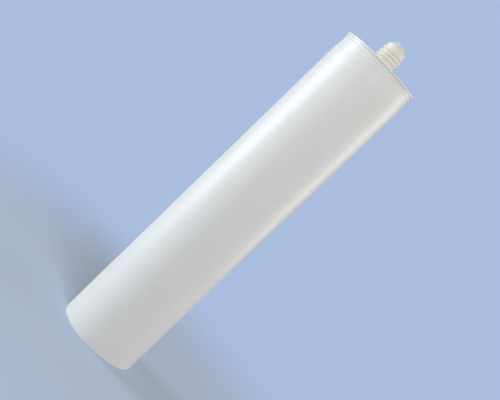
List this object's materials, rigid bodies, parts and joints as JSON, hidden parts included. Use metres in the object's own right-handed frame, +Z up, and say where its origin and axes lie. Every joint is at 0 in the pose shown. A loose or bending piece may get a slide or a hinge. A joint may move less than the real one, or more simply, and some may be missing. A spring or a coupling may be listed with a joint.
{
  "type": "sealant cartridge",
  "caption": "Bare white plastic cartridge for a caulking gun: straight tube with a raised front rim, a closed threaded nipple and a sliding piston in its open rear end.",
  "frame": {"origin": "centre of the rear rim, on the surface that the cartridge stands on", "axes": "+Z up the tube's axis from the open rear end to the nipple; the tube is round, so X and Y are free, and +X passes through the start of the thread"},
  "size_m": [0.05, 0.05, 0.2312],
  "materials": {
    "barrel_plastic": "satin natural-white moulded polyethylene",
    "piston_plastic": "satin off-white moulded polyethylene"
  },
  "bodies": {
    "barrel": {"barrel": "barrel_plastic"},
    "piston": {"piston": "piston_plastic"}
  },
  "joints": [
    {"name": "piston_slide", "type": "slide", "parent": "barrel", "child": "piston", "axis": [0, 0, 1], "range_m": [-0.012, 0.1807]}
  ]
}
